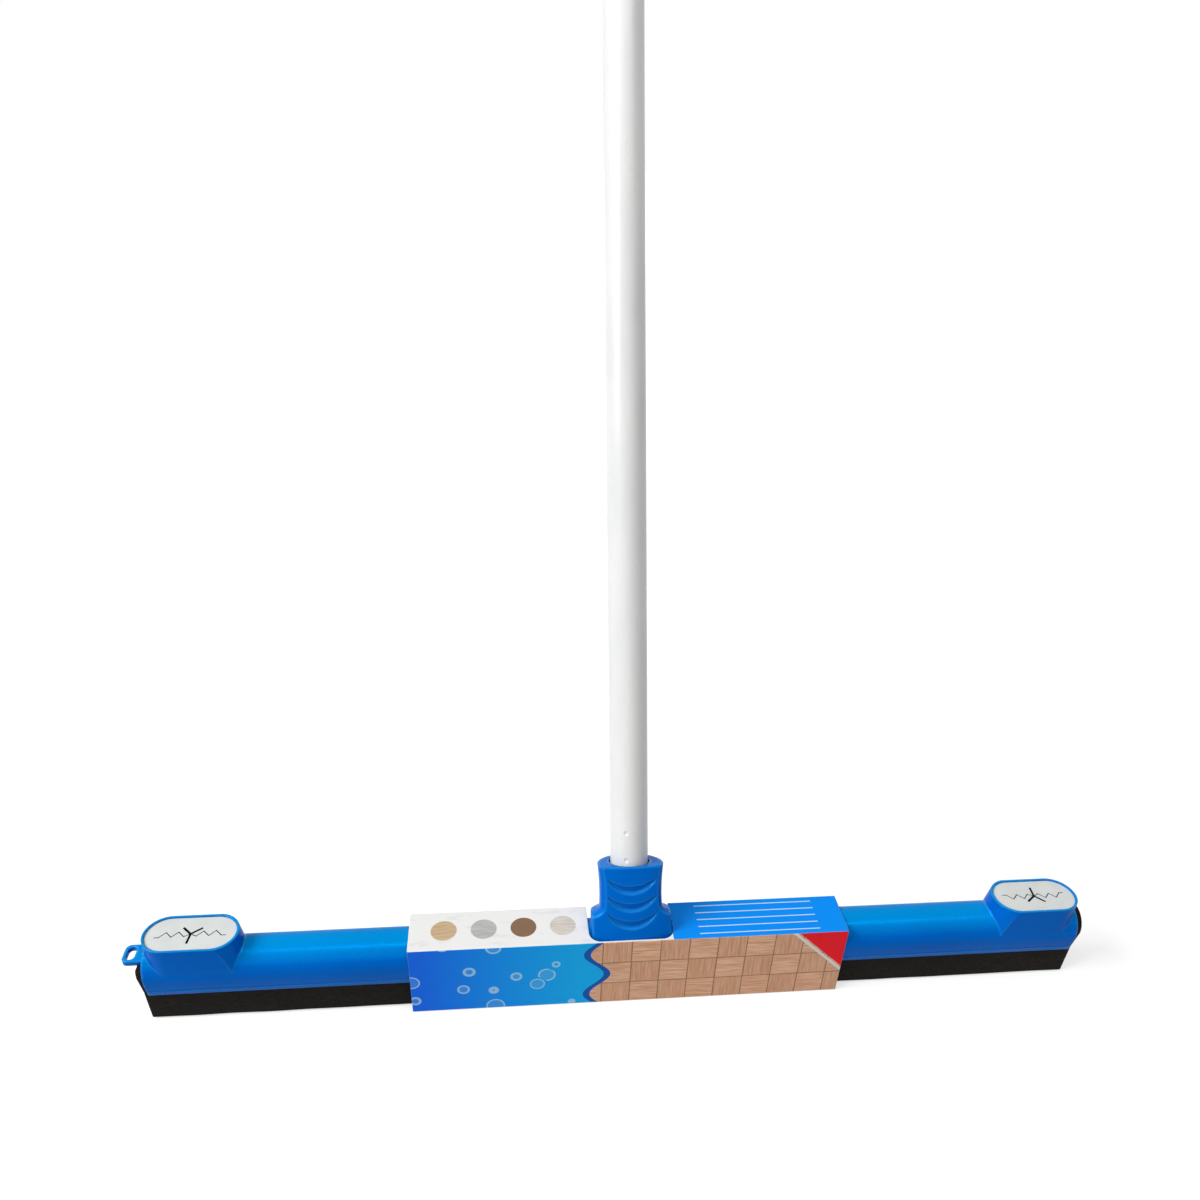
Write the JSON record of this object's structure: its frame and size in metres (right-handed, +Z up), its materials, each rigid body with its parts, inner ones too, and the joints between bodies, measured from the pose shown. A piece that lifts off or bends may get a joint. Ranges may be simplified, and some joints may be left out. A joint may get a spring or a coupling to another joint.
{
  "type": "floor squeegee",
  "caption": "Floor squeegee: moulded blue head with a folded black foam blade, cloth gripper pads at the ends, a card sleeve and a screw-in white tube handle leaning back.",
  "frame": {"origin": "on the floor under the middle of the head, on the underside of the card sleeve", "axes": "+X along the head away from the hanging loop, +Y to the side the handle leans to, +Z up"},
  "size_m": [0.5666, 0.5519, 1.1597],
  "materials": {
    "head_plastic": "gloss moulded polypropylene",
    "blade_foam": "fine closed-cell foam",
    "gripper_rubber": "matt soft rubber",
    "tip_plastic": "matt moulded plastic",
    "tube_paint": "satin powder coat on steel tube",
    "sleeve_card": "printed coated card"
  },
  "bodies": {
    "squeegee_head": {"head": "head_plastic", "foam_blade": "blade_foam", "left_gripper": "gripper_rubber", "right_gripper": "gripper_rubber", "card_sleeve": "sleeve_card"},
    "screw_tip": {"thread_tip": "tip_plastic"},
    "handle": {"handle_tube": "tube_paint", "end_cap": "head_plastic"}
  },
  "joints": [
    {"name": "handle_feed", "type": "slide", "parent": "squeegee_head", "child": "screw_tip", "axis": [0, 0.4321, 0.9018], "range_m": [0, 0.02]},
    {"name": "handle_turn", "type": "hinge", "parent": "screw_tip", "child": "handle", "pos_m": [0, 0, 0.048], "axis": [0, 0.4321, 0.9018], "range_deg": [0, 1800]}
  ],
  "couplings": [
    {"joint": "handle_turn", "follows": "handle_feed", "rad_per_m": 1570.8}
  ]
}
